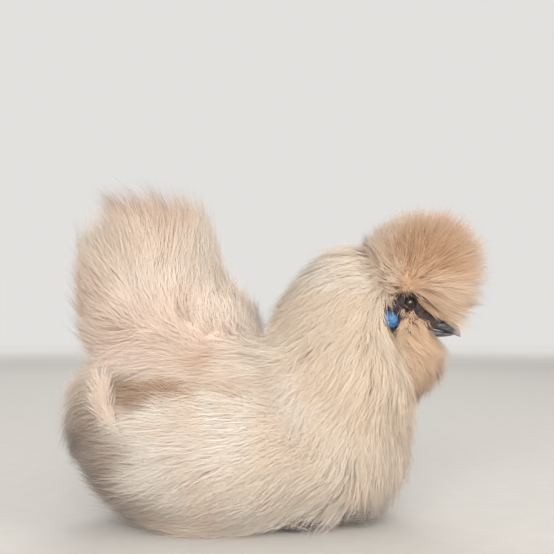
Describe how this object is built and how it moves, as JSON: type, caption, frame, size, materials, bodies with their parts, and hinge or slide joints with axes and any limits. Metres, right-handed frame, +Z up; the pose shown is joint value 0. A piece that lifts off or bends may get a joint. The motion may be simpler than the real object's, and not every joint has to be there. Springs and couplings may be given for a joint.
{
  "type": "silkie hen",
  "caption": "Life-size still hen with long silky plumage, a round crest, a full beard and a cushion tail, sitting with her feet tucked under.",
  "frame": {"origin": "middle of the flat of her belly, on the surface that she sits on", "axes": "+X towards her beak, +Y towards her left side, +Z up"},
  "size_m": [0.2672, 0.1475, 0.2206],
  "materials": {
    "plumage_cream": "soft matt cream-white plumage",
    "plumage_tan": "soft matt pale tan plumage",
    "skin_mulberry": "fine-grained dark mulberry skin",
    "beak_slate": "satin slate-blue horn",
    "eye_dark": "wet and near black",
    "earlobe_turquoise": "fine-grained turquoise blue skin",
    "claw_horn": "satin grey horn"
  },
  "bodies": {
    "root": {"beak_upper": "beak_slate", "beak_lower": "beak_slate", "head": "skin_mulberry", "eye_left": "eye_dark", "eye_right": "eye_dark", "earlobe_left": "earlobe_turquoise", "earlobe_right": "earlobe_turquoise", "crest": "plumage_tan", "beard": "plumage_tan", "neck": "plumage_cream", "tail": "plumage_cream", "torso": "plumage_cream", "wing_left": "plumage_cream", "wing_right": "plumage_cream", "leg_left": "skin_mulberry", "leg_right": "skin_mulberry", "claw_hallux_left": "claw_horn", "claw_fifth_left": "claw_horn", "claw_inner_left": "claw_horn", "claw_middle_left": "claw_horn", "claw_outer_left": "claw_horn", "claw_hallux_right": "claw_horn", "claw_fifth_right": "claw_horn", "claw_inner_right": "claw_horn", "claw_middle_right": "claw_horn", "claw_outer_right": "claw_horn"}
  },
  "joints": []
}
